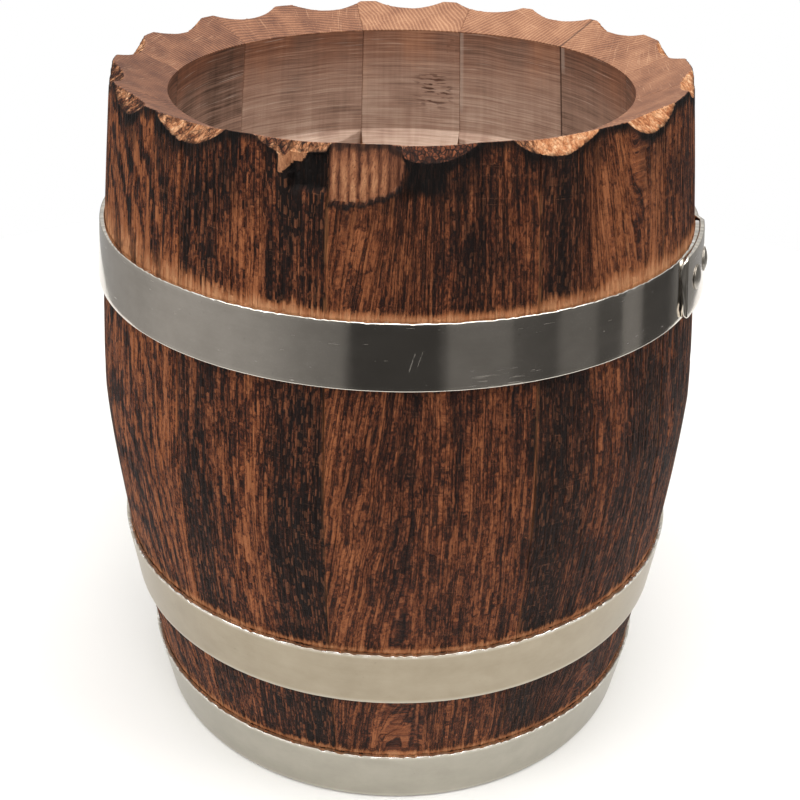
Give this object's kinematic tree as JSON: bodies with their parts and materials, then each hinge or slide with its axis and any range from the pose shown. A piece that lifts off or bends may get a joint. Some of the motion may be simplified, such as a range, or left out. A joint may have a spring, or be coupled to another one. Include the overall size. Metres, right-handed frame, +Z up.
{
  "type": "oak wine barrel",
  "caption": "Small open-topped oak barrel with charred, brushed staves, a scalloped rim, three riveted steel hoops and a jointed bottom head.",
  "frame": {"origin": "on the barrel's axis, at the level of the stave ends that it stands on, at the middle of the bounding box's bottom face", "axes": "+Z up along the barrel's axis, -Y towards the front stave that carries the broken chip, +X to the right seen from the front"},
  "size_m": [0.2924, 0.2924, 0.33],
  "materials": {
    "charred_oak": "charred and brushed outside, planed inside, dry",
    "hoop_steel": "bright rolled strip, lightly scratched",
    "rivet_steel": "dull",
    "head_oak": "planed, dry",
    "dowel_oak": "turned, dry"
  },
  "bodies": {
    "root": {"stave_01": "charred_oak", "stave_02": "charred_oak", "stave_03": "charred_oak", "stave_04": "charred_oak", "stave_05": "charred_oak", "stave_06": "charred_oak", "stave_07": "charred_oak", "stave_08": "charred_oak", "stave_09": "charred_oak", "stave_10": "charred_oak", "stave_11": "charred_oak", "stave_12": "charred_oak", "upper_hoop": "hoop_steel", "lower_hoop": "hoop_steel", "base_hoop": "hoop_steel", "upper_hoop_rivets": "rivet_steel", "lower_hoop_rivets": "rivet_steel", "base_hoop_rivets": "rivet_steel", "head_centre_board": "head_oak", "head_left_board": "head_oak", "head_right_board": "head_oak", "head_left_cant": "head_oak", "head_right_cant": "head_oak", "head_dowels": "dowel_oak"}
  },
  "joints": []
}
